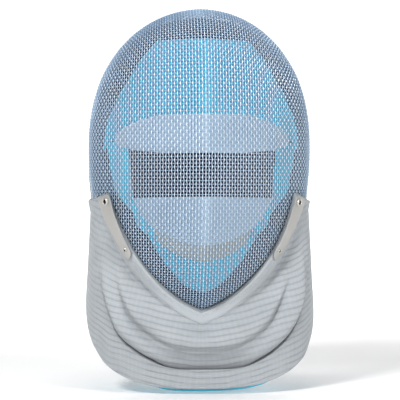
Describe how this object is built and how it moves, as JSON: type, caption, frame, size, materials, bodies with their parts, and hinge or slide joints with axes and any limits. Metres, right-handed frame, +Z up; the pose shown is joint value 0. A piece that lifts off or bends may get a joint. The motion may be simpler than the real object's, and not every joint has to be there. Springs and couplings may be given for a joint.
{
  "type": "fencing mask",
  "caption": "Woven wire face mask with a ridged front, padded lining, cloth throat bib with clamp plates, a sprung back tongue and an elastic strap.",
  "frame": {"origin": "crown seat: where the top of the wearer's head meets the padding, on the middle plane", "axes": "+Z up, the face looks along -Y, +X towards the wearer's left"},
  "size_m": [0.2173, 0.2567, 0.3504],
  "materials": {
    "wire": "galvanised drawn wire",
    "band": "satin",
    "plate": "brushed, warm silver",
    "bib_cloth": "silver-grey conductive cloth with fine ribs",
    "blue_cloth": "soft blue lining",
    "pale_cloth": "pale grey-blue padding",
    "binding_cloth": "woven tape",
    "navy_cloth": "dark navy padding and elastic"
  },
  "bodies": {
    "root": {"mesh_dome": "wire", "rim_band": "band", "rim_pad": "navy_cloth", "brow_liner": "blue_cloth", "forehead_pad": "pale_cloth", "cheek_liner_left": "blue_cloth", "cheek_liner_right": "blue_cloth", "chin_pad": "pale_cloth", "chin_binding": "binding_cloth", "chin_liner": "blue_cloth", "bib_shell": "bib_cloth", "bib_lining": "blue_cloth", "bib_edge_band": "bib_cloth", "side_plate_left": "plate", "side_plate_right": "plate", "eyelet_upper_left": "plate", "eyelet_upper_right": "plate", "rivet_lower_left": "plate", "rivet_lower_right": "plate", "back_tongue": "navy_cloth", "back_strap": "navy_cloth"}
  },
  "joints": []
}
